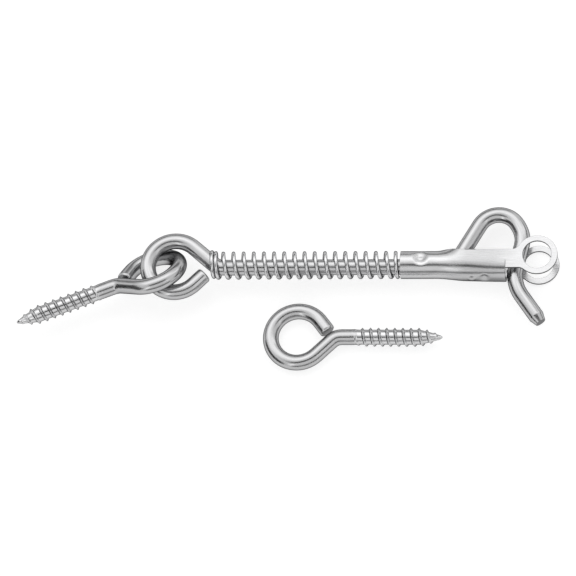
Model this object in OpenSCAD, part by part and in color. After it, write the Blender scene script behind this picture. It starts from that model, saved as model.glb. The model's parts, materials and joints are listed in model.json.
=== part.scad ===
// Spring-loaded hook and eye latch for a gate, with its two screw eyes, as it lies on a table.
// Lengths are in millimetres. The rod runs along X, the hook's bow points along +Y, and +Z is up.

/* [Wire] */
// Diameter of the round wire that the rod and both screw eyes are bent from
wire_d = 6.65; // [6.4:0.05:6.9]

/* [Screw eyes] */
// Inside diameter of a screw eye's loop
eye_inside_d = 16.35; // [15.5:0.05:18]
// Length from the loop's centre to the point
eye_length = 61.6; // [50:0.1:75]
// Angle between the shank and the arm that carries the loop
eye_arm_angle = 45; // [40:1:50]
// Centreline radius of the bend between the shank and that arm
eye_neck_r = 5.5; // [4.5:0.1:6.5]
// Angle round the loop, from the shank, where its cut end leaves the circle
eye_gap_angle = 38; // [34:1:44]
// Straight length behind that cut end
eye_tail = 6; // [4:0.1:6.5]
// Outside diameter of the thread
thread_d = 8.2; // [7.8:0.1:9]
// Length of the thread, with its point
thread_length = 38.5; // [28:0.1:39]
// Length of the tapered point
point_length = 9.5; // [7:0.1:12]
// Diameter of the blunt end of the point
point_d = 0.8; // [0.5:0.1:1.5]

/* [Rod and its eye] */
// Inside diameter of the rod's closed eye
rod_eye_inside_d = 16.4; // [15.5:0.1:18]
// Angle at which the rod turns up into its eye
rod_eye_angle = 41; // [38:1:45]
// Centreline radius of that turn
rod_eye_bend_r = 5; // [4.5:0.1:6]
// Angle below the rod where the eye's cut end leaves the circle
rod_eye_gap_angle = 45; // [42:1:50]
// Straight length behind that cut end
rod_eye_tail = 6.5; // [5:0.1:7]
// Length from the eye's centre to the foot of the hook
rod_length = 113.9; // [100:0.1:140]

/* [Hook] */
// Angle at which the hook rises from the rod
rise_angle = 60.4; // [55:0.1:65]
// Centreline radius of the bend at the hook's foot
rise_bend_r = 8.1; // [7:0.1:10]
// Straight length of the rising leg
rise_length = 16.1; // [14:0.1:20]
// Centreline radius of the crown
crown_r = 9.2; // [8:0.1:11]
// Angle that the crown turns through
crown_turn = 121.7; // [116:0.1:126]
// Centreline radius of the easier curve after the crown
shoulder_r = 11.3; // [10:0.1:14]
// Angle that it turns through
shoulder_turn = 41.5; // [36:0.1:44]
// Straight length of the leg that comes down
drop_length = 9.8; // [8:0.1:12]
// Centreline radius of the outward kick above the lip
lip_bend_r = 16.2; // [14:0.1:18]
// Angle of that kick
lip_turn = 47.5; // [42:0.1:52]
// Length of the lip, with its tapered end
lip_length = 14.7; // [12:0.1:18]
// Length of that taper
lip_taper = 3.2; // [2:0.1:4]
// Diameter of the lip's blunt end
lip_end_d = 4.6; // [4:0.1:5.4]

/* [Sleeve] */
// Thickness of the folded sheet
sheet_t = 1.1; // [0.9:0.05:1.3]
// Length of the folded body along the rod
sleeve_length = 44.6; // [40:0.1:50]
// Length of the part that is rolled into a tube
tube_length = 15; // [12:0.1:17]
// Length over which the tube opens into the channel
flare_length = 13; // [10:0.1:16]
// Play between the rod and the tube's bore, each side
tube_play = 1.45; // [1.2:0.05:1.7]
// Play between the rod and the channel's walls, each side
channel_play = 2.35; // [2.1:0.05:2.7]
// Height of the channel's flat walls above its axis
wall_height = 4.6; // [4:0.1:5.4]
// Angle left open along the top of the tube, each side of the middle
seam_angle = 14; // [10:1:20]
// Inside diameter of a finger ring
ring_inside_d = 12.2; // [11.5:0.1:13.5]
// Width of a finger ring's rim
ring_rim = 2.55; // [2.2:0.05:3]
// Distance from the end of the folded body to the rings' centre
ring_reach = 13.4; // [12:0.1:14]
// Height of the rings' centre above the sleeve's axis
ring_rise = 2.05; // [1.6:0.05:2.5]
// Depth of the neck below the sleeve's axis
neck_drop = 3.7; // [3.2:0.1:4.2]
// Radius where the neck's edges run into the ring
neck_fillet = 4; // [2:0.5:5]
// Gap between the folded body and the leg that it closes against
stop_gap = 0.35; // [0.3:0.05:0.6]

/* [Spring] */
// Diameter of the spring's wire
spring_wire_d = 1.6; // [1.4:0.05:1.7]
// Play between the rod and the inside of the coils, each side
spring_play = 1.05; // [1:0.05:1.3]
// Open turns between the closed ends
spring_turns = 17.5; // [15.5:1:19.5]
// Closed turns at the eye's end
closed_turns_eye = 2; // [1:1:3]
// Closed turns at the sleeve's end
closed_turns_sleeve = 1; // [1:1:2]

/* [Lying on the table] */
// Direction of the pivot screw eye's shank, from +X
pivot_heading = 201; // [198:1:206]
// Angle that the pivot screw eye is rolled about its shank
pivot_roll = 41; // [40:1:44]
// Gap kept between a sliding or seated piece and what it rests against
rest_gap = 0.35; // [0.3:0.05:0.5]
// How far the sleeve lies off the rod's axis, towards +Y
sleeve_lift = 0.3; // [0:0.05:0.6]
// Distance along the rod from its eye's centre to the loose eye's centre
catch_along = 52.4; // [45:0.1:60]
// Distance in front of the rod to the loose eye's centre
catch_front = 29.6; // [26:0.1:34]
// Direction of the loose eye's shank, from +X
catch_heading = -1.4; // [-5:0.1:3]

/* [Hidden] */
$fn = 64;

steel = [0.76, 0.77, 0.78];
bright_steel = [0.88, 0.89, 0.90];
spring_steel = [0.68, 0.69, 0.71];

wire_r = wire_d / 2;
bend_thinning = 0.02;
bend_seat = 0.2;

// A bent wire is a list of moves, each one [straight length, bend radius, turn to the left].
// The state after some moves is [x, y, heading].
function after_run(state, length) =
    [state.x + length * cos(state.z), state.y + length * sin(state.z), state.z];
function after_bend(state, radius, turn) =
    let (side = sign(turn), heading = state.z)
    [state.x + side * radius * (sin(heading + turn) - sin(heading)),
     state.y - side * radius * (cos(heading + turn) - cos(heading)),
     heading + turn];
function after_moves(moves, count) =
    count == 0 ? [0, 0, 0]
    : after_bend(after_run(after_moves(moves, count - 1), moves[count - 1][0]),
                 moves[count - 1][1], moves[count - 1][2]);

module straight_wire(length) {
    rotate([0, 90, 0]) cylinder(d = wire_d, h = length);
}

// A round form along +X, from its outline as [radius, distance along]
module turned(outline) {
    rotate([0, 90, 0]) rotate_extrude() polygon(outline);
}

// An arc of wire about the origin. Drawn wire thins where it is bent, and the arc's ends reach
// a little way into the straight wire on each side.
module wire_arc(radius, from, sweep) {
    into = bend_seat / radius * 180 / PI;
    rotate([0, 0, from - into])
        rotate_extrude(angle = sweep + 2 * into) translate([radius, 0]) circle(d = wire_d - bend_thinning);
}

// A bend that starts at the origin heading along +X and turns left, or right when turn is negative
module bent_wire(radius, turn) {
    translate([0, sign(turn) * radius, 0])
        wire_arc(radius, turn > 0 ? -90 : 90 + turn, abs(turn));
}

module wire_along(moves) {
    for (i = [0 : len(moves) - 1]) {
        start = after_moves(moves, i);
        bend = after_run(start, moves[i][0]);
        translate([start.x, start.y, 0]) rotate([0, 0, start.z]) straight_wire(moves[i][0]);
        translate([bend.x, bend.y, 0]) rotate([0, 0, bend.z]) bent_wire(moves[i][1], moves[i][2]);
    }
}

// The rod, from its eye's centre
rod_eye_r = (rod_eye_inside_d + wire_d) / 2;
rod_turn_x = rod_eye_r / sin(rod_eye_angle) + rod_eye_bend_r * tan(rod_eye_angle / 2);
rod_eye_sweep = 360 - (90 - rod_eye_angle) - rod_eye_gap_angle;
rod_eye_end = [rod_eye_r * cos(rod_eye_gap_angle), -rod_eye_r * sin(rod_eye_gap_angle)];
rod_arm_length = rod_eye_r / tan(rod_eye_angle) - rod_eye_bend_r * tan(rod_eye_angle / 2);
rod_tail_reach = rod_eye_end.x + rod_eye_tail * sin(rod_eye_gap_angle) + wire_r * cos(rod_eye_gap_angle);

// Short straight wire between the crown and the shoulder
crown_run = 1.5;
hook_moves = [
    [rod_length - rod_turn_x, rise_bend_r, rise_angle],
    [rise_length, crown_r, -crown_turn],
    [crown_run, shoulder_r, -shoulder_turn],
    [drop_length, lip_bend_r, lip_turn]
];
lip_start = after_moves(hook_moves, len(hook_moves));
crown_start = after_run(after_moves(hook_moves, 1), rise_length);
crown_top = crown_start.y + crown_r * (1 - cos(rise_angle));
drop_end = after_run(after_moves(hook_moves, 3), drop_length);
leg_back_x = rod_turn_x + drop_end.x - lip_bend_r * (1 + sin(drop_end.z)) - wire_r;

// The sleeve, along the rod and across it
sleeve_end = leg_back_x - stop_gap;
sleeve_start = sleeve_end - sleeve_length;
tube_mid_r = wire_r + tube_play + sheet_t / 2;
channel_mid_r = wire_r + channel_play + sheet_t / 2;
ring_r = ring_inside_d / 2 + ring_rim;
ring_x = sleeve_end + ring_reach;
ring_y = sleeve_lift + ring_rise;
// The rings are coined a little thinner than the folded body, and their necks are a little lower
coining = 0.1;
ring_t = sheet_t - coining;
neck_top = sleeve_lift + wall_height - coining;
neck_root = 4.5;

// The spring fills the rod between its eye and the sleeve
spring_start = rod_tail_reach + rest_gap;
spring_end = sleeve_start - rest_gap;
coil_r = wire_r + spring_play + spring_wire_d / 2;
spring_lift = spring_play - rest_gap;
closed_gap = 0.1;
closed_pitch = spring_wire_d + closed_gap;
spring_body = spring_end - spring_start - spring_wire_d;
open_pitch = (spring_body - (closed_turns_eye + closed_turns_sleeve) * closed_pitch) / spring_turns;
spring_all_turns = closed_turns_eye + spring_turns + closed_turns_sleeve;

// How the latch lies: the pivot eye's low arm is on the table, the rod's eye rides over that arm,
// and the rod leans down until the lower finger ring touches the table.
eye_r = (eye_inside_d + wire_d) / 2;
pivot_height = eye_r * sin(pivot_roll) + wire_r;
link_back_share = 0.81;
link_front_share = 0.18;
link_rise_share = 0.035;
pivot_centre = [-link_back_share * eye_r, -link_front_share * eye_r, pivot_height];
rod_eye_height = pivot_height + link_rise_share * eye_r;
ring_face = channel_mid_r + ring_t / 2;
ring_edge_x = ring_x + ring_r;
lean = asin(rod_eye_height / norm([ring_edge_x, ring_face])) - atan2(ring_face, ring_edge_x);

// The loose eye lies on its loop and on the start of its thread
thread_start = eye_length - thread_length;
catch_lean = asin((thread_d - wire_d) / 2 / (thread_start + eye_r));
catch_height = wire_r + eye_r * sin(catch_lean);

// The origin is under the middle of the whole, on the table
low_x = pivot_centre.x + eye_length * cos(pivot_heading) + point_d / 2 * sin(pivot_heading);
high_x = ring_edge_x * cos(lean) + ring_face * sin(lean);
low_y = -catch_front - eye_r - wire_r;
high_y = crown_top + wire_r;
middle = [(low_x + high_x) / 2, (low_y + high_y) / 2, 0];

module on_the_table() {
    translate(-middle) children();
}

module leaning() {
    on_the_table() translate([0, 0, rod_eye_height]) rotate([0, lean, 0]) children();
}

// One length of wire: a closed eye, a straight rod, and the hook with its turned-out lip
module hook_rod() {
    color(steel) leaning() {
        rod_eye();
        translate([rod_turn_x, 0, 0]) {
            wire_along(hook_moves);
            translate([lip_start.x, lip_start.y, 0]) rotate([0, 0, lip_start.z]) lip();
        }
    }
}

// The eye's circle, the arm that joins it to the rod, and its cut end
module rod_eye() {
    wire_arc(rod_eye_r, 90 - rod_eye_angle, rod_eye_sweep);
    translate(rod_eye_end) rotate([0, 0, 90 - rod_eye_gap_angle]) straight_wire(rod_eye_tail);
    translate([rod_turn_x, 0, 0]) rotate([0, 0, 180]) {
        bent_wire(rod_eye_bend_r, -rod_eye_angle);
        arm = after_bend([0, 0, 0], rod_eye_bend_r, -rod_eye_angle);
        translate([arm.x, arm.y, 0]) rotate([0, 0, arm.z]) straight_wire(rod_arm_length);
    }
}

module lip() {
    turned([
        [0, 0], [wire_r, 0], [wire_r, lip_length - lip_taper],
        [lip_end_d / 2, lip_length], [0, lip_length]
    ]);
}

// A screw eye lies in its own XY plane, with its loop's centre at the origin and its point along +X
module screw_eye() {
    tangent = eye_r * [sin(eye_arm_angle), -cos(eye_arm_angle)];
    arm = (-eye_neck_r * (1 - cos(eye_arm_angle)) - tangent.y) / sin(eye_arm_angle);
    neck_x = tangent.x + arm * cos(eye_arm_angle) + eye_neck_r * sin(eye_arm_angle);
    wire_arc(eye_r, eye_gap_angle, 270 + eye_arm_angle - eye_gap_angle);
    translate(eye_r * [cos(eye_gap_angle), sin(eye_gap_angle)])
        rotate([0, 0, eye_gap_angle - 90]) straight_wire(eye_tail);
    translate(tangent) rotate([0, 0, eye_arm_angle]) straight_wire(arm);
    translate([neck_x, 0, 0]) rotate([0, 0, 180]) bent_wire(eye_neck_r, eye_arm_angle);
    turned([
        [0, neck_x], [wire_r, neck_x], [wire_r, thread_start], [thread_d / 2, thread_start],
        [thread_d / 2, eye_length - point_length], [point_d / 2, eye_length], [0, eye_length]
    ]);
}

module pivot_screw_eye() {
    color(steel) on_the_table()
        translate(pivot_centre) rotate([0, 0, pivot_heading]) rotate([pivot_roll, 0, 0])
            mirror([0, 1, 0]) screw_eye();
}

module catch_screw_eye() {
    color(steel) on_the_table()
        translate([catch_along, -catch_front, catch_height])
            rotate([0, 0, catch_heading]) rotate([0, -catch_lean, 0]) screw_eye();
}

// The sleeve's folded body: a sheet whose section opens from a tube into a channel along the rod
function ease(x) = let (u = max(0, min(1, x))) u * u * (3 - 2 * u);
section_steps = 8;
flare_steps = 12;
wrap_angle = 90 - seam_angle;
// A flat wall still turns by this little angle, so that its radius stays a number
least_turn = 0.5;
// A point of the section, at share 0 to 1 up one side; out is the distance from the sheet's middle
function wall_point(opening, share, out) =
    let (r = tube_mid_r + (channel_mid_r - tube_mid_r) * opening,
         turn = max(wrap_angle * (1 - opening), least_turn),
         tube_wall = tube_mid_r * wrap_angle * PI / 180,
         length = tube_wall + (wall_height - tube_wall) * opening,
         curve_r = length / (turn * PI / 180),
         a = share < 0 ? 90 * share : turn * share)
    share < 0 ? (r + out) * [sin(a), cos(a)]
    : [(curve_r + out) * sin(a), r - curve_r + (curve_r + out) * cos(a)];
function section(opening, out) = concat(
    [for (i = [section_steps : -1 : -section_steps])
        let (p = wall_point(opening, i / section_steps, out)) [p[0], -p[1]]],
    [for (i = [-section_steps + 1 : section_steps]) wall_point(opening, i / section_steps, out)]);
flare_x = concat([sleeve_start],
    [for (i = [0 : flare_steps]) sleeve_start + tube_length + flare_length * i / flare_steps],
    [sleeve_end]);
function opening_at(x) = ease((x - sleeve_start - tube_length) / flare_length);

module folded_body() {
    rows = len(flare_x);
    columns = len(section(0, 0));
    ring = 2 * columns;
    points = [for (x = flare_x)
        let (outer = section(opening_at(x), sheet_t / 2), inner = section(opening_at(x), -sheet_t / 2))
        each concat([for (p = outer) [x, p[0], p[1]]],
                    [for (i = [columns - 1 : -1 : 0]) [x, inner[i][0], inner[i][1]]])];
    sides = [for (row = [0 : rows - 2], i = [0 : ring - 1])
        let (a = row * ring + i, b = row * ring + (i + 1) % ring)
        each [[a, b, b + ring], [a, b + ring, a + ring]]];
    first = [for (i = [0 : columns - 2])
        let (a = i, b = i + 1, c = ring - 2 - i, d = ring - 1 - i) each [[a, c, b], [a, d, c]]];
    shift = (rows - 1) * ring;
    last = [for (f = first) [f[2] + shift, f[1] + shift, f[0] + shift]];
    polyhedron(points, concat(sides, first, last));
}

// One wall's neck and finger ring, cut from the same sheet. The neck is rooted in the wall.
module ring_outline() {
    difference() {
        union() {
            offset(r = -neck_fillet) offset(r = neck_fillet) {
                translate([ring_x, ring_y]) circle(r = ring_r);
                translate([sleeve_end, sleeve_lift - neck_drop])
                    square([ring_reach, neck_top - sleeve_lift + neck_drop]);
            }
            translate([sleeve_end - neck_root, sleeve_lift])
                square([neck_root + neck_fillet, neck_top - sleeve_lift]);
        }
        translate([ring_x, ring_y]) circle(d = ring_inside_d);
    }
}

module finger_ring() {
    linear_extrude(height = ring_t, center = true) ring_outline();
}

module sleeve() {
    color(bright_steel) leaning() {
        translate([0, sleeve_lift, 0]) folded_body();
        for (side = [-1, 1]) translate([0, 0, side * channel_mid_r]) finger_ring();
    }
}

// The spring: round wire swept along a helix whose end turns lie close
coil_steps = 16;
wire_sides = 8;
function coil_x(t) =
    spring_start + spring_wire_d / 2
    + closed_pitch * min(t, closed_turns_eye)
    + open_pitch * max(0, min(t - closed_turns_eye, spring_turns))
    + closed_pitch * max(0, t - closed_turns_eye - spring_turns);
// The first turns ride up where the rod bends into its eye
function coil_lift(t) = spring_lift * (1 + max(0, 1 - t / closed_turns_eye));

module spring() {
    rings = round(spring_all_turns * coil_steps);
    points = [for (i = [0 : rings])
        let (t = spring_all_turns * i / rings, a = 360 * t)
        for (j = [0 : wire_sides - 1])
            let (b = 360 * j / wire_sides, r = coil_r + spring_wire_d / 2 * cos(b))
            [coil_x(t) + spring_wire_d / 2 * sin(b), coil_lift(t) + r * cos(a), r * sin(a)]];
    sides = [for (i = [0 : rings - 1], j = [0 : wire_sides - 1])
        let (a = i * wire_sides + j, b = i * wire_sides + (j + 1) % wire_sides)
        each [[a, a + wire_sides, b + wire_sides], [a, b + wire_sides, b]]];
    first = [[for (j = [0 : wire_sides - 1]) j]];
    last = [[for (j = [wire_sides - 1 : -1 : 0]) rings * wire_sides + j]];
    color(spring_steel) leaning() polyhedron(points, concat(sides, first, last));
}

hook_rod();
spring();
sleeve();
pivot_screw_eye();
catch_screw_eye();
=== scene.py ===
import json

import bmesh
import bpy
import numpy as np
from mathutils import Matrix, Vector


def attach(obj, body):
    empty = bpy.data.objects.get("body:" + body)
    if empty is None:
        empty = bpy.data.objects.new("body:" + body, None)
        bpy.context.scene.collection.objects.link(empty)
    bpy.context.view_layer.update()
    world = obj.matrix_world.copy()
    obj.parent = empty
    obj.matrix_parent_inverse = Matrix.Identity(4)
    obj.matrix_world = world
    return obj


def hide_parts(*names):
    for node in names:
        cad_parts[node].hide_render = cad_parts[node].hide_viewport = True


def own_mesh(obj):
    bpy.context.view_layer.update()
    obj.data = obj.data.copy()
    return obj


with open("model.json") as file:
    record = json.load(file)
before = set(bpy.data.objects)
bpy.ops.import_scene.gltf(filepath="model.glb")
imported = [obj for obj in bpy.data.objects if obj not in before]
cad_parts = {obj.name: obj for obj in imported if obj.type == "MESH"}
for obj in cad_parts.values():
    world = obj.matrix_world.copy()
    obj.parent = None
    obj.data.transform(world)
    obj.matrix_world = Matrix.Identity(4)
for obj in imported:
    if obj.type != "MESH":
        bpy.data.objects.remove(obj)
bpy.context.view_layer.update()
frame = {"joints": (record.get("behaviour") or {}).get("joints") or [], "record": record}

mm = 0.001

# The camera. The latch was photographed on a table from well above, a little to the right of its
# front, through a long lens. The picture is turned so that the rod lies level in it.
photo_side = 576
mm_per_pixel = 0.4222
view_distance = 3000 * mm
view_elevation, view_azimuth = np.radians(68), np.radians(20)
view_turn = np.radians(-19.45)
aim = Vector((0.68, -1.15, 11.25)) * mm

towards_camera = Vector((np.sin(view_azimuth) * np.cos(view_elevation),
                         -np.cos(view_azimuth) * np.cos(view_elevation), np.sin(view_elevation)))
camera_data = bpy.data.cameras.new("camera")
camera = bpy.data.objects.new("camera", camera_data)
bpy.context.scene.collection.objects.link(camera)
camera_data.sensor_width = 36
camera_data.lens = camera_data.sensor_width * view_distance / (photo_side * mm_per_pixel * mm)
camera_data.clip_start = view_distance / 100
camera_data.clip_end = view_distance * 100
camera.location = aim + towards_camera * view_distance
camera.rotation_mode = "QUATERNION"
look = (-towards_camera).to_track_quat("-Z", "Y")
camera.rotation_quaternion = look @ Matrix.Rotation(view_turn, 4, "Z").to_quaternion()
bpy.context.scene.camera = camera
bpy.context.scene.view_settings.view_transform = "Standard"

# The table and the studio round it. Both are plain white, as in the photograph, to the eye and in
# the metal's reflections. The table is also lit, so it keeps the latch's soft shadow.
room_level = 0.75
table_side = 12.0
table_colour = (0.42, 0.42, 0.42, 1)
table_glow = 0.75


def links(tree, *pairs):
    """Joins sockets: each pair is (output, input)."""
    for output, entry in pairs:
        tree.links.new(output, entry)


def seen_directly(tree):
    """Gives 1 where the camera, a reflection or a see-through piece looks straight at a surface, and
    else 0."""
    path = tree.nodes.new("ShaderNodeLightPath")
    first = tree.nodes.new("ShaderNodeMath")
    first.operation = "MAXIMUM"
    both = tree.nodes.new("ShaderNodeMath")
    both.operation = "MAXIMUM"
    links(tree, (path.outputs["Is Camera Ray"], first.inputs[0]),
          (path.outputs["Is Glossy Ray"], first.inputs[1]),
          (first.outputs[0], both.inputs[0]),
          (path.outputs["Is Transmission Ray"], both.inputs[1]))
    return both.outputs[0]


studio = bpy.data.worlds.new("studio")
studio.use_nodes = True
tree = studio.node_tree
tree.nodes.clear()
room, white = tree.nodes.new("ShaderNodeBackground"), tree.nodes.new("ShaderNodeBackground")
room.inputs["Color"].default_value = white.inputs["Color"].default_value = (1, 1, 1, 1)
room.inputs["Strength"].default_value = room_level
choice = tree.nodes.new("ShaderNodeMixShader")
world_out = tree.nodes.new("ShaderNodeOutputWorld")
links(tree, (seen_directly(tree), choice.inputs[0]), (room.outputs[0], choice.inputs[1]),
      (white.outputs[0], choice.inputs[2]), (choice.outputs[0], world_out.inputs[0]))
bpy.context.scene.world = studio


def flat_board(name, width, height, material):
    """A rectangle in the XY plane, centred on the origin and facing up."""
    corners = np.array([(-1, -1, 0), (1, -1, 0), (1, 1, 0), (-1, 1, 0)]) * (width / 2, height / 2, 0)
    mesh = bpy.data.meshes.new(name)
    mesh.from_pydata(corners.tolist(), [], [(0, 1, 2, 3)])
    board = bpy.data.objects.new(name, mesh)
    board.data.materials.append(material)
    bpy.context.scene.collection.objects.link(board)
    return board


table_top = bpy.data.materials.new("white_table")
table_top.use_nodes = True
tree = table_top.node_tree
tree.nodes.clear()
lit, glow = tree.nodes.new("ShaderNodeBsdfDiffuse"), tree.nodes.new("ShaderNodeEmission")
lit.inputs["Color"].default_value = table_colour
glow_level = tree.nodes.new("ShaderNodeMath")
glow_level.operation = "MULTIPLY"
glow_level.inputs[1].default_value = table_glow
both = tree.nodes.new("ShaderNodeAddShader")
table_out = tree.nodes.new("ShaderNodeOutputMaterial")
links(tree, (seen_directly(tree), glow_level.inputs[0]), (glow_level.outputs[0], glow.inputs["Strength"]),
      (lit.outputs[0], both.inputs[0]), (glow.outputs[0], both.inputs[1]),
      (both.outputs[0], table_out.inputs["Surface"]))
flat_board("table", table_side, table_side, table_top)

# The lights and the grey boards that give polished wire its bands: two soft lights high behind the
# latch, the wider round the other, three narrow ones at its sides and front, and boards from light
# grey to nearly black above the camera and low all round.
light_distance = 1.7
board_distance = 1.08 * light_distance


def facing_latch(thing, azimuth, elevation, distance):
    """Places a light or a board on a ball round the latch, facing it. Azimuth 0 is at the front
    and 90 at the right; both angles are in degrees. The camera doesn't see it."""
    a, e = np.radians(azimuth), np.radians(elevation)
    out = Vector((np.sin(a) * np.cos(e), -np.cos(a) * np.cos(e), np.sin(e)))
    thing.location = out * distance
    thing.rotation_mode = "QUATERNION"
    thing.rotation_quaternion = out.to_track_quat("Z", "Y")
    thing.visible_camera = False


def soft_light(name, azimuth, elevation, width, height, level):
    """A rectangular soft box. Its surface is as bright as level times white, so its power is
    level times pi times its area."""
    data = bpy.data.lights.new(name, "AREA")
    data.shape = "RECTANGLE"
    data.size, data.size_y = width, height
    data.energy = level * np.pi * width * height
    lamp = bpy.data.objects.new(name, data)
    bpy.context.scene.collection.objects.link(lamp)
    facing_latch(lamp, azimuth, elevation, light_distance)


soft_light("light_behind", 200, 60, 2.6, 1.5, 0.3)
soft_light("light_behind_middle", 200, 58, 2.0, 0.9, 0.5)
soft_light("light_right", 132, 34, 0.35, 1.1, 0.7)
soft_light("light_front_left", 338, 32, 0.22, 0.9, 1.0)
soft_light("light_front_right", 62, 42, 0.22, 0.9, 0.5)


def dark_board(name, shade, azimuth, elevation, width, height):
    """A matt grey board that only the metal sees."""
    matt = bpy.data.materials.new(name)
    matt.use_nodes = True
    matt.node_tree.nodes.clear()
    surface = matt.node_tree.nodes.new("ShaderNodeBsdfDiffuse")
    surface.inputs["Color"].default_value = (shade, shade, shade, 1)
    out = matt.node_tree.nodes.new("ShaderNodeOutputMaterial")
    links(matt.node_tree, (surface.outputs[0], out.inputs["Surface"]))
    board = flat_board(name, width, height, matt)
    facing_latch(board, azimuth, elevation, board_distance)


dark_board("dark_round_camera", 0.16, 20, 73, 1.9, 0.62)
dark_board("dark_front", 0.5, 20, 12, 3.0, 0.7)
dark_board("dark_left", 0.08, 290, 18, 2.2, 1.0)
dark_board("dark_right", 0.3, 110, 8, 2.2, 0.5)
dark_board("dark_behind", 0.4, 200, 10, 3.0, 0.6)

# The rod: one length of drawn steel wire, polished, with its left end bent into a closed eye and
# its right end into the hook. The hook's lip turns outwards and is tapered, so that it finds the
# eye it drops into. It lies on the pivot screw eye and leans down to the right.
wire_d = 6.65
cut_chamfer = 0.5
rod_eye_r = (16.4 + wire_d) / 2
rod_eye_angle = 41
rod_eye_gap_angle = 45
rod_eye_tail = 6.5
rod_eye_bend_r = 5
rod_length = 113.9
rise_bend_r, rise_angle, rise_length = 8.1, 60.4, 16.1
crown_r, crown_turn = 9.2, 121.7
crown_run = 1.5
shoulder_r, shoulder_turn = 11.3, 41.5
drop_length = 9.8
lip_bend_r, lip_turn, lip_length = 16.2, 47.5, 14.7
lip_taper, lip_end_d = 3.2, 4.6
rod_drop = 0.55
wire_step, wire_columns = 0.4, 40
crisp_angle = 35

joints = {joint["name"]: joint for joint in frame["joints"]}
rod_place = np.array(joints["hook_swing"]["pos_m"]) / mm
rod_x = np.array(joints["sleeve_slide"]["axis"])
rod_z = np.array(joints["hook_swing"]["axis"])
rod_axes = np.array([rod_x, np.cross(rod_z, rod_x), rod_z])


def bent_line(moves, start, heading, soft_run=1.2):
    """The centre line of a bent wire in its own plane. A move is (straight length, bend radius,
    degrees turned to the left). The heading is level along a straight and changes evenly round a
    bend, so it is a broken line over the distance walked. It is averaged over a soft run to each
    side, because real bends start gently. The points are the running sum of steps in that heading."""
    lengths = np.array([(run, radius * abs(np.radians(turn))) for run, radius, turn in moves]).ravel()
    turns = np.array([(0, turn) for run, radius, turn in moves]).ravel()
    marks = np.append(0, np.cumsum(lengths))
    headings = np.radians(heading + np.append(0, np.cumsum(turns)))
    along = np.linspace(0, marks[-1], round(marks[-1] / wire_step) + 1)
    near = along + np.linspace(-soft_run, soft_run, 9)[:, None]
    angle = np.interp(near, marks, headings).mean(0)
    middle = (angle[1:] + angle[:-1]) / 2
    steps = np.diff(along)[:, None] * np.stack([np.cos(middle), np.sin(middle)], -1)
    points = np.array(start) + np.append([[0, 0]], np.cumsum(steps, 0), 0)
    return along, points, angle


def round_skin(along, points, angle, radius):
    """Circles along a flat centre line: column by column they go from the line's left over its
    top, at the radius given for each row and column. Also returns the place of each point on the
    straight wire before it was bent."""
    rows, columns = radius.shape
    around = 2 * np.pi * np.arange(columns) / columns
    side, lift = radius * np.cos(around), radius * np.sin(around)
    x = points[:, :1] - side * np.sin(angle)[:, None]
    y = points[:, 1:] + side * np.cos(angle)[:, None]
    unbent = np.stack([np.repeat(along[:, None], columns, 1), side, lift], -1)
    return np.stack([x, y, lift], -1), unbent


def closed_tube(grid):
    """Triangles over a grid whose columns join up into a tube. Each square is split along the
    diagonal that climbs with the columns, and each end is a fan about a point at its middle.
    Returns the points and the triangles."""
    rows, columns = grid.shape[:2]
    here = np.arange(rows * columns).reshape(rows, columns)
    beside = np.roll(here, -1, axis=1)
    first, last = np.full(columns, rows * columns), np.full(columns, rows * columns + 1)
    parts = [
        np.stack([here[:-1], beside[:-1], beside[1:]], -1),
        np.stack([here[:-1], beside[1:], here[1:]], -1),
        np.stack([first, beside[0], here[0]], -1),
        np.stack([last, here[-1], beside[-1]], -1),
    ]
    points = np.concatenate([grid.reshape(-1, 3), [grid[0].mean(0), grid[-1].mean(0)]])
    return points, np.concatenate([part.reshape(-1, 3) for part in parts])


def new_piece(name, points, faces, material, place=(0, 0, 0), axes=np.eye(3), unbent=None):
    """A smooth mesh object from points in millimetres along the given axes from the given place.
    Edges over the crisp angle stay sharp. Unbent places are kept as an attribute for the material."""
    mesh = bpy.data.meshes.new(name)
    mesh.from_pydata(((np.array(place) + points @ axes) * mm).tolist(), [], faces.tolist())
    if unbent is not None:
        kept = mesh.attributes.new("unbent", "FLOAT_VECTOR", "POINT")
        kept.data.foreach_set("vector", (unbent * mm).ravel())
    mesh.materials.append(material)
    mesh.shade_smooth()
    mesh.set_sharp_from_angle(angle=np.radians(crisp_angle))
    mesh.update()
    made = bpy.data.objects.new(name, mesh)
    bpy.context.scene.collection.objects.link(made)
    return made


blotch_length, blotch_width = 6, 3
wave_length, wave_width = 9, 4
darkest_line, palest_line = 0.9, 1.07
roughness_spread = 0.03
blue_cast = 1.01


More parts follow.
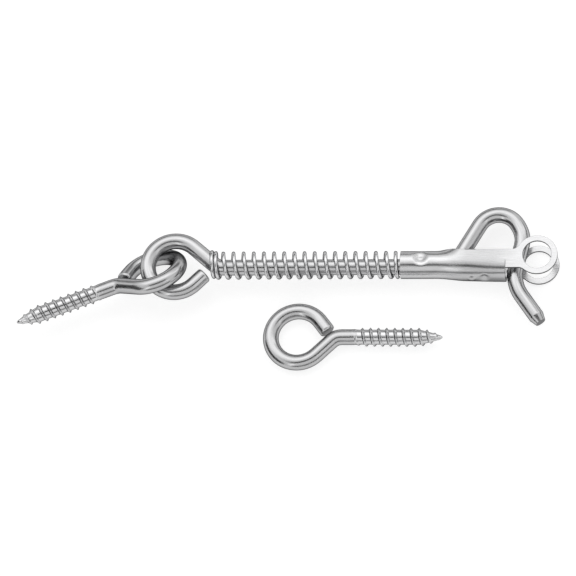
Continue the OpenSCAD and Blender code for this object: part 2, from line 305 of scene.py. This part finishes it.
def steel(name, tones, roughness, line_width, line_length, line_depth, wave_depth, unbent=True):
    """Polished steel. Its tones are (place along X in millimetres, grey), with smooth steps between.
    Fine lines run along the metal, narrow across and long along it; they vary its tone and
    roughness and stand a few microns deep. Blotches in the polish vary the roughness more slowly,
    and a slow wave in the surface makes the reflections wander a little. The pattern lies on the
    straight wire before it was bent, or on the object where unbent is False."""
    made = bpy.data.materials.new(name)
    made.use_nodes = True
    tree = made.node_tree
    new = tree.nodes.new
    shader = tree.nodes["Principled BSDF"]
    shader.inputs["Metallic"].default_value = 1
    shader.inputs["Specular Tint"].default_value = (0, 0, 0, 1)
    if unbent:
        source = new("ShaderNodeAttribute")
        source.attribute_name = "unbent"
        where = source.outputs["Vector"]
    else:
        where = new("ShaderNodeTexCoord").outputs["Object"]

    def noise(length, width, detail):
        """Cloudy noise whose clouds are about so long along X and so wide across it."""
        stretch = new("ShaderNodeMapping")
        stretch.inputs["Scale"].default_value = (1 / (length * mm), 1 / (width * mm), 1 / (width * mm))
        cloud = new("ShaderNodeTexNoise")
        cloud.inputs["Scale"].default_value = 1
        cloud.inputs["Detail"].default_value = detail
        links(tree, (where, stretch.inputs["Vector"]), (stretch.outputs[0], cloud.inputs["Vector"]))
        return cloud.outputs["Fac"]

    def spread(value, low, high):
        """Stretches noise, which mostly lies between 0.3 and 0.7, to run from low to high."""
        scaled = new("ShaderNodeMapRange")
        scaled.inputs["From Min"].default_value = 0.3
        scaled.inputs["From Max"].default_value = 0.7
        scaled.inputs["To Min"].default_value = low
        scaled.inputs["To Max"].default_value = high
        links(tree, (value, scaled.inputs["Value"]))
        return scaled.outputs["Result"]

    lines = noise(line_length, line_width, 4)
    blotches = noise(blotch_length, blotch_width, 3)
    wave = noise(wave_length, wave_width, 0)
    apart, place = new("ShaderNodeSeparateXYZ"), new("ShaderNodeMapRange")
    tone, lined = new("ShaderNodeValToRGB"), new("ShaderNodeVectorMath")
    first, last = tones[0][0], tones[-1][0]
    place.inputs["From Min"].default_value = first * mm
    place.inputs["From Max"].default_value = last * mm
    tone.color_ramp.interpolation = "EASE"
    stops = tone.color_ramp.elements
    for x, grey in tones[1:-1]:
        stops.new((x - first) / (last - first))
    for stop, (x, grey) in zip(stops, tones):
        stop.color = (grey, grey, grey * blue_cast, 1)
    lined.operation = "SCALE"
    rough = new("ShaderNodeMath")
    rough.operation = "ADD"
    relief, swell = new("ShaderNodeBump"), new("ShaderNodeBump")
    relief.inputs["Distance"].default_value = line_depth * mm
    swell.inputs["Distance"].default_value = wave_depth * mm
    links(tree, (where, apart.inputs[0]), (apart.outputs["X"], place.inputs["Value"]),
          (place.outputs["Result"], tone.inputs["Fac"]), (tone.outputs["Color"], lined.inputs[0]),
          (spread(lines, darkest_line, palest_line), lined.inputs["Scale"]),
          (lined.outputs[0], shader.inputs["Base Color"]),
          (spread(lines, -roughness_spread, roughness_spread), rough.inputs[0]),
          (spread(blotches, roughness - roughness_spread, roughness + roughness_spread), rough.inputs[1]),
          (rough.outputs[0], shader.inputs["Roughness"]),
          (wave, swell.inputs["Height"]), (swell.outputs["Normal"], relief.inputs["Normal"]),
          (lines, relief.inputs["Height"]), (relief.outputs["Normal"], shader.inputs["Normal"]))
    return made


wire_steel = steel("bent_wire_steel", [(0, 0.49), (1, 0.49)], 0.22, 0.35, 14, 0.006, 0.05)

eye_turn = -(360 - (90 - rod_eye_angle) - rod_eye_gap_angle)
eye_arm = (rod_eye_r / np.tan(np.radians(rod_eye_angle))
           - rod_eye_bend_r * np.tan(np.radians(rod_eye_angle / 2)))
turn_x = (rod_eye_r / np.sin(np.radians(rod_eye_angle))
          + rod_eye_bend_r * np.tan(np.radians(rod_eye_angle / 2)))
gap = np.radians(rod_eye_gap_angle)
eye_cut = (rod_eye_r * np.cos(gap) + rod_eye_tail * np.sin(gap),
           -rod_eye_r * np.sin(gap) + rod_eye_tail * np.cos(gap))
# Seen with the bow upwards, the rod runs a little below the middle of its eye: the arm and the
# rising leg are longer by the drop along their own slopes.
eye_slope, rise_slope = np.radians(rod_eye_angle), np.radians(rise_angle)
straight = rod_length - turn_x - rod_drop / np.tan(eye_slope) - rod_drop / np.tan(rise_slope)
rod_moves = [
    (rod_eye_tail, rod_eye_r, eye_turn),
    (eye_arm + rod_drop / np.sin(eye_slope), rod_eye_bend_r, rod_eye_angle),
    (straight, rise_bend_r, rise_angle),
    (rise_length + rod_drop / np.sin(rise_slope), crown_r, -crown_turn),
    (crown_run, shoulder_r, -shoulder_turn),
    (drop_length, lip_bend_r, lip_turn),
    (lip_length, 1, 0),
]


def cut_radius(along, columns, first, last, last_d):
    """The wire's radius along its length: full, but chamfered over the length first at its start
    and tapered over the length last to the diameter last_d at its end."""
    end = along[-1]
    radius = np.interp(along, [0, first, end - last, end],
                       [wire_d / 2 - first, wire_d / 2, wire_d / 2, last_d / 2])
    return np.repeat(radius[:, None], columns, 1)


line = bent_line(rod_moves, eye_cut, 270 - rod_eye_gap_angle)
skin, unbent = round_skin(*line, cut_radius(line[0], wire_columns, cut_chamfer, lip_taper, lip_end_d))
points, triangles = closed_tube(skin)
hook_rod = new_piece("rod", points, triangles, wire_steel, rod_place, rod_axes, closed_tube(unbent)[0])
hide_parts("hook_rod")
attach(hook_rod, "hook")

# The spring: bright spring wire coiled to the right, with its end turns wound close. It fills the
# rod between the rod's eye and the sleeve, and shortens when the sleeve is drawn. It lies a little
# to the bow's side of the rod's middle, and more so where it starts on the slope of the rod's arm.
spring_wire_d = 1.6
spring_play = 1.05
open_turns, closed_at_eye, closed_at_sleeve = 17.5, 1.5, 0.6
closed_gap = 0.1
closed_pitch = spring_wire_d + closed_gap
spring_start, spring_end = 14.8, 95.593
spring_lift, start_lift = 0.4, 1.1
coil_r = (wire_d + spring_wire_d) / 2 + spring_play
coil_steps, coil_columns = 60, 16
coil_cut_length, coil_cut_share = 0.25, 0.7


def coiled_wire(turns_at, x_at, lift_at, radius, wire_radius):
    """Wire coiled about the rod. The centre line goes round at a fixed radius while it moves along
    by the given places over the turns, averaged over a fifth of a turn to each side. Each circle is
    square to the line: it is drawn in the plane of the outward direction and of that direction
    crossed with the line's own. At the two ends the circle is smaller, which rounds the cut."""
    turns = np.linspace(0, turns_at[-1], round(turns_at[-1] * coil_steps) + 1)
    bend = 2 * np.pi * turns
    near = turns + np.linspace(-0.2, 0.2, 9)[:, None]
    x = np.interp(near, turns_at, x_at).mean(0)
    lift = np.interp(near, turns_at, lift_at).mean(0)
    centre = np.stack([x, lift + radius * np.cos(bend), radius * np.sin(bend)], -1)
    out = np.stack([0 * bend, np.cos(bend), np.sin(bend)], -1)
    ahead = np.gradient(centre, axis=0)
    length = np.append(0, np.cumsum(np.linalg.norm(np.diff(centre, axis=0), axis=1)))
    ahead /= np.linalg.norm(ahead, axis=1)[:, None]
    across = np.cross(ahead, out)
    across /= np.linalg.norm(across, axis=1)[:, None]
    width = np.interp(length, [0, coil_cut_length, length[-1] - coil_cut_length, length[-1]],
                      wire_radius * np.array([coil_cut_share, 1, 1, coil_cut_share]))
    around = 2 * np.pi * np.arange(coil_columns) / coil_columns
    u, v = width[:, None] * np.cos(around), width[:, None] * np.sin(around)
    grid = centre[:, None] + u[..., None] * out[:, None] + v[..., None] * across[:, None]
    unbent = np.stack([np.repeat(length[:, None], coil_columns, 1), u, v], -1)
    return grid, unbent


all_turns = closed_at_eye + open_turns + closed_at_sleeve
turn_marks = [0, closed_at_eye, closed_at_eye + open_turns, all_turns]
turn_places = [spring_start + spring_wire_d / 2,
               spring_start + spring_wire_d / 2 + closed_at_eye * closed_pitch,
               spring_end - spring_wire_d / 2 - closed_at_sleeve * closed_pitch,
               spring_end - spring_wire_d / 2]
coil, unbent = coiled_wire(turn_marks, turn_places, [start_lift] + [spring_lift] * 3,
                           coil_r, spring_wire_d / 2)
points, triangles = closed_tube(coil)
coil_steel = steel("spring_wire_steel", [(0, 0.64), (1, 0.64)], 0.22, 0.2, 8, 0.004, 0.01)
coil_spring = new_piece("coil_spring", points, triangles, coil_steel, rod_place, rod_axes,
                        closed_tube(unbent)[0])
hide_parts("spring")
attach(coil_spring, "hook")
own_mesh(coil_spring)

# The sleeve: one piece of stainless sheet. It is rolled into a tube at the spring's end, opens into
# a channel that straddles the hook's foot, and ends in two parallel finger rings, cut and coined
# from the same sheet. Its upper side shows three marks of the tool, two pressed in and one out.
sheet_t = 1.1
sleeve_start, sleeve_end = 95.943, 140.543
tube_length, flare_length = 15, 13
tube_r, channel_r = 5.325, 6.225
wall_height = 4.6
seam_angle = 14
sleeve_lift = 0.3
ring_centre = np.array([153.943, 2.35])
ring_hole_r, ring_r = 6.1, 8.65
neck_drop, neck_fillet = 3.7, 4
sheet_edge, sheet_edge_angle = 0.26, 50
foot_squareness, foot_length = 0.34, 26
least_turn = 0.001
# Each dent: place along the rod, place round the sheet, radius and depth inwards.
dents = [(104.6, 1.4, 3.9, 1.0), (131.6, -8.2, 2.6, 0.95), (126.2, -8.9, 1.9, -0.55)]
dent_floor = 1.25
side_steps, body_rows, ring_rows, outline_steps = 26, 91, 7, 9
merge_distance = 1e-4


def ease(x):
    """Rises smoothly from 0 to 1 as x does."""
    u = np.clip(x, 0, 1)
    return u * u * (3 - 2 * u)


def folded_sheet(x, share):
    """The middle of the folded sheet at a distance along the rod, and at a share that runs up one
    side: -1 at the bottom, 0 at the level of the axis and 1 at the wall's upper edge. The lower half
    is a half circle, which grows squarer towards the open end: there its sine and cosine are raised
    to a power under 1. The upper half is an arc that keeps its length while it unrolls from the tube
    into the channel's flat wall. Returns the height, the distance to the side, and the distance
    round the sheet from the axis's level."""
    opening = ease((x - sleeve_start - tube_length) / flare_length)
    r = tube_r + (channel_r - tube_r) * opening
    turn = np.radians(np.maximum((90 - seam_angle) * (1 - opening), least_turn))
    tube_wall = tube_r * np.radians(90 - seam_angle)
    length = tube_wall + (wall_height - tube_wall) * opening
    curve_r = length / turn
    low = np.pi / 2 * np.maximum(-share, 0)
    high = turn * np.maximum(share, 0)
    power = 1 - foot_squareness * ease(1 - (sleeve_end - x) / foot_length)
    height = np.where(share < 0, -r * np.sin(low) ** power, curve_r * np.sin(high))
    side = np.where(share < 0, r * np.abs(np.cos(low)) ** power, r - curve_r + curve_r * np.cos(high))
    return height, side, np.where(share < 0, -r * low, length * share)


def dented(x, height, side, round_way):
    """Presses the dents into the side of the folded sheet that faces up. A dent is deepest in its
    middle, where it has a small floor, and runs out smoothly at its radius. It moves the sheet
    straight towards the rod, or away from it where its depth is below 0."""
    pressed = 0
    for along, around, radius, depth in dents:
        far = np.hypot(x - along, round_way - around) / radius
        pressed = pressed + depth * ease(dent_floor * (1 - far))
    keep = 1 - pressed / np.hypot(height, side)
    return height * keep, side * keep


def ring_outline():
    """The outline of a neck and its ring, round from the neck's lower corner: along the lower
    edge, round the small arc where it runs into the ring, round the ring, and back along the upper
    edge. The arc's centre is a fillet's radius beyond the edge and beyond the ring."""
    steps = outline_steps
    low, high = sleeve_lift - neck_drop, sleeve_lift + wall_height
    parts, meets = [], []
    for level, out in ((low, -1), (high, 1)):
        y = level + out * neck_fillet
        x = ring_centre[0] - np.sqrt((ring_r + neck_fillet) ** 2 - (y - ring_centre[1]) ** 2)
        heading = np.arctan2(y - ring_centre[1], x - ring_centre[0])
        meets.append((x, y, heading % (2 * np.pi)))
    (x0, y0, a0), (x1, y1, a1) = meets
    bottom = np.linspace(0, 1, steps)[:, None] * (x0 - sleeve_end, 0) + (sleeve_end, low)
    turn = np.linspace(np.pi / 2, a0 - np.pi, steps)[1:]
    parts += [bottom, np.stack([x0 + neck_fillet * np.cos(turn), y0 + neck_fillet * np.sin(turn)], -1)]
    turn = np.linspace(a0 - 2 * np.pi, a1, 8 * steps)[1:]
    parts += [ring_centre + ring_r * np.stack([np.cos(turn), np.sin(turn)], -1)]
    turn = np.linspace(a1 + np.pi, 3 * np.pi / 2, steps)[1:]
    parts += [np.stack([x1 + neck_fillet * np.cos(turn), y1 + neck_fillet * np.sin(turn)], -1)]
    parts += [np.linspace(1, 0, steps)[1:, None] * (x1 - sleeve_end, 0) + (sleeve_end, high)]
    return np.concatenate(parts)


body_x = np.linspace(sleeve_start, sleeve_end, body_rows)
share = np.linspace(-1, 1, 2 * side_steps + 1)
height, side, round_way = folded_sheet(body_x[:, None], share[None, :])
plain_x = np.repeat(body_x[:, None], len(share), 1)
half_sheet = np.stack([plain_x, sleeve_lift + height, side], -1)
height, side = dented(plain_x, height, side, round_way)
upper_half = np.stack([plain_x, sleeve_lift + height, side], -1)
wall_edge = half_sheet[-1, side_steps:, :2]
free_edge = np.linspace(1, 0, 7)[:, None] * (0, -neck_drop) + (sleeve_end, sleeve_lift)
rim = np.concatenate([wall_edge[::-1][:-1], free_edge[::-1][:-1], ring_outline()[:-1]])


def sheet_faces(shape, joined):
    """Squares over a grid; joined means that the last column meets the first."""
    rows, columns = shape
    here = np.arange(rows * columns).reshape(rows, columns)
    if joined:
        here = np.append(here, here[:, :1], 1)
    return np.stack([here[:-1, :-1], here[1:, :-1], here[1:, 1:], here[:-1, 1:]], -1).reshape(-1, 4)


out = rim - ring_centre
hole = ring_centre + ring_hole_r * out / np.linalg.norm(out, axis=1)[:, None]
ring_sheet = hole + (rim - hole) * np.linspace(0, 1, ring_rows)[:, None, None]
ring_sheet = np.append(ring_sheet, np.full((*ring_sheet.shape[:2], 1), channel_r), -1)


def joined_sheet(grids):
    """One open sheet from several grids of points: the points that lie in the same place are
    merged and the faces turned alike. Each grid comes with True if its last column meets its
    first. Returns a mesh in millimetres."""
    sheet = bmesh.new()
    for grid, joined in grids:
        corners = [sheet.verts.new(point) for point in grid.reshape(-1, 3).tolist()]
        for face in sheet_faces(grid.shape[:2], joined).tolist():
            sheet.faces.new([corners[i] for i in face])
    bmesh.ops.remove_doubles(sheet, verts=sheet.verts, dist=merge_distance)
    bmesh.ops.recalc_face_normals(sheet, faces=sheet.faces)
    return sheet


mirror_side = np.array([1, 1, -1])
body_sheet = np.concatenate([(half_sheet * mirror_side)[:, :0:-1], upper_half], 1)
sheet = joined_sheet([(body_sheet, False), (ring_sheet, True), (ring_sheet * mirror_side, True)])
sheet.transform(Matrix(((np.array(rod_axes) * mm).T).tolist()).to_4x4())
sheet.transform(Matrix.Translation(Vector(rod_place * mm)))
sheet_mesh = bpy.data.meshes.new("sleeve_sheet")
sheet.to_mesh(sheet_mesh)
sheet.free()

# The sheet's tone along it is painted light: paler on the tube and the rings as painted highlight,
# and greyer on the channel's flat walls as painted shade. Each tone has its distance from the sleeve's
# start.
channel_start = tube_length + flare_length
neck_start, neck_end = 36, 52
sheet_painted_sheen = [(tube_length, 0.58), (channel_start, 0.48), (neck_start, 0.455), (neck_end, 0.575)]
# Painted highlight on the tube and rings and painted shade on the channel walls, set as base colour.
sheet_steel = steel("folded_sheet_painted_sheen",
                    [(rod_place[0] + sleeve_start + distance, grey) for distance, grey in sheet_painted_sheen],
                    0.25, 0.25, 10, 0.008, 0.03, unbent=False)
# The sheet's cut edges are rough like a sheared edge, and their dark tone is painted shade for the dark
# outline round the rings and the channel's edges.
cut_edge_shade_steel = steel("cut_edge_painted_shade", [(0, 0.24), (1, 0.24)], 0.35, 0.1, 0.4, 0.01, 0, unbent=False)
sheet_mesh.materials.append(sheet_steel)
sheet_mesh.materials.append(cut_edge_shade_steel)
sheet_mesh.shade_smooth()
folded_sleeve = bpy.data.objects.new("folded_sleeve", sheet_mesh)
bpy.context.scene.collection.objects.link(folded_sleeve)
wall = folded_sleeve.modifiers.new("sheet_thickness", "SOLIDIFY")
wall.thickness = sheet_t * mm
wall.offset = 0
wall.material_offset_rim = 1
rounding = folded_sleeve.modifiers.new("rounded_edges", "BEVEL")
rounding.width = sheet_edge * mm
rounding.segments = 3
rounding.limit_method = "ANGLE"
rounding.angle_limit = np.radians(sheet_edge_angle)
rounding.harden_normals = True
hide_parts("sleeve")
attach(folded_sleeve, "slider")

# The two screw eyes are one part: the same steel wire bent into a loop whose cut end nearly meets
# the shank, with a rolled wood-screw thread that runs out into a gimlet point. The first is linked
# through the rod's eye, and its thread goes into the gate.
eye_r = (16.35 + wire_d) / 2
eye_length, eye_arm_angle, eye_neck_r = 61.6, 45, 5.5
eye_gap_angle, eye_tail = 38, 6
thread_d, thread_length, point_length, point_d = 8.0, 38.5, 9.5, 0.8
thread_root_d, thread_pitch, thread_width = 6.3, 3.44, 1.5
thread_run_in, ridge_turn, crest_share = 1.6, 0.25, 0.86
point_fullness, ridge_fade, bare_tip = 0.8, 1.6, 0.06
thread_columns = 48
gap, arm = np.radians(eye_gap_angle), np.radians(eye_arm_angle)
screw_cut = (eye_r * np.cos(gap) + eye_tail * np.sin(gap), eye_r * np.sin(gap) - eye_tail * np.cos(gap))
arm_length = (eye_r * np.cos(arm) - eye_neck_r * (1 - np.cos(arm))) / np.sin(arm)
neck_x = (eye_r + eye_neck_r) * np.sin(arm) + arm_length * np.cos(arm)
thread_start = eye_length - thread_length
screw_moves = [
    (eye_tail, eye_r, 270 + eye_arm_angle - eye_gap_angle),
    (arm_length, eye_neck_r, -eye_arm_angle),
    (thread_start - neck_x, 1, 0),
]


def screw_eye_skin():
    """The skin of a screw eye, lying in its own XY plane with the loop's centre at the origin and
    the point along +X. The bent wire is a round skin. On the thread the radius depends on the
    distance along and the angle round: the root narrows to the point, and a ridge stands on it
    where the angle, as a share of a turn, matches the distance in pitches. The ridge is a wedge with
    its tip cut flat. It rises over its run-in, and fades out on the point. A row is as long as the
    ridge climbs from one column to the next, so the ridge runs through the corners of the grid."""
    line = bent_line(screw_moves, screw_cut, 90 + eye_gap_angle)
    wire = cut_radius(line[0], thread_columns, cut_chamfer, 0.01, wire_d)
    bent, unbent = round_skin(*line, wire)
    row = thread_pitch / thread_columns
    count = int(thread_length / row)
    reach = row * np.arange(1, count + 1)[:, None]
    turn = (reach / thread_pitch - np.arange(thread_columns) / thread_columns) % 1
    taper = np.clip((thread_length - reach) / point_length, 0, 1)
    run_in = ease(reach / (thread_run_in * thread_pitch))
    root = wire_d / 2 + (thread_root_d - wire_d) / 2 * ease(reach / thread_pitch)
    root = point_d / 2 + (root - point_d / 2) * taper ** point_fullness
    fade = np.clip(ridge_fade * taper, 0, 1) * (taper > bare_tip)
    wedge = 1 - np.abs(turn - ridge_turn) * 2 * thread_pitch / thread_width
    ridge = np.clip(wedge, 0, crest_share) / crest_share
    radius = root + (thread_d - thread_root_d) / 2 * run_in * fade * ridge
    angle = 2 * np.pi * np.arange(thread_columns) / thread_columns
    side, lift = radius * np.cos(angle), radius * np.sin(angle)
    x = np.repeat(thread_start + reach, thread_columns, 1)
    along = np.repeat(line[0][-1] + reach, thread_columns, 1)
    grid = np.append(bent, np.stack([x, side, lift], -1), 0)
    unbent = np.append(unbent, np.stack([along, side, lift], -1), 0)
    return grid, unbent


mounts = {mount["name"]: mount for mount in frame["record"]["mounts"]}
screw_skin, screw_unbent = screw_eye_skin()
screw_points, screw_triangles = closed_tube(screw_skin)
screw_unbent = closed_tube(screw_unbent)[0]
wire_end = screw_unbent[:, 0].max() - thread_length
screw_steel = steel("screw_eye_steel", [(wire_end, 0.48), (wire_end + thread_pitch, 0.6)],
                    0.22, 0.35, 14, 0.006, 0.05)


def screw_axes(mount, roll):
    """The directions of a screw eye that lies along a mount's axis, rolled about it by an angle
    from the table: forward, sideways and up."""
    forward = np.array(mount["axis"])
    level = np.cross([0, 0, 1], forward)
    level /= np.linalg.norm(level)
    up = np.cross(forward, level)
    roll = np.radians(roll)
    return np.array([forward, np.cos(roll) * level + np.sin(roll) * up,
                     np.cos(roll) * up - np.sin(roll) * level])


def screw_place(mount):
    """The centre of a screw eye's loop. The mount's middle is halfway along the full thread."""
    back = thread_start + (thread_length - point_length) / 2
    return np.array(mount["pos_m"]) / mm - back * np.array(mount["axis"])


pivot_roll = 41
pivot_axes = screw_axes(mounts["pivot_thread"], 180 + pivot_roll)
pivot_eye = new_piece("pivot_eye", screw_points, screw_triangles, screw_steel,
                      screw_place(mounts["pivot_thread"]), pivot_axes, screw_unbent)
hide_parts("pivot_screw_eye")
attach(pivot_eye, "eyes")

# The second screw eye lies loose in front of the rod. The hook drops into it when it is screwed
# into the post.
catch_eye = new_piece("catch_eye", screw_points, screw_triangles, screw_steel,
                      screw_place(mounts["catch_thread"]), screw_axes(mounts["catch_thread"], 0),
                      screw_unbent)
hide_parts("catch_screw_eye")
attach(catch_eye, "eyes")
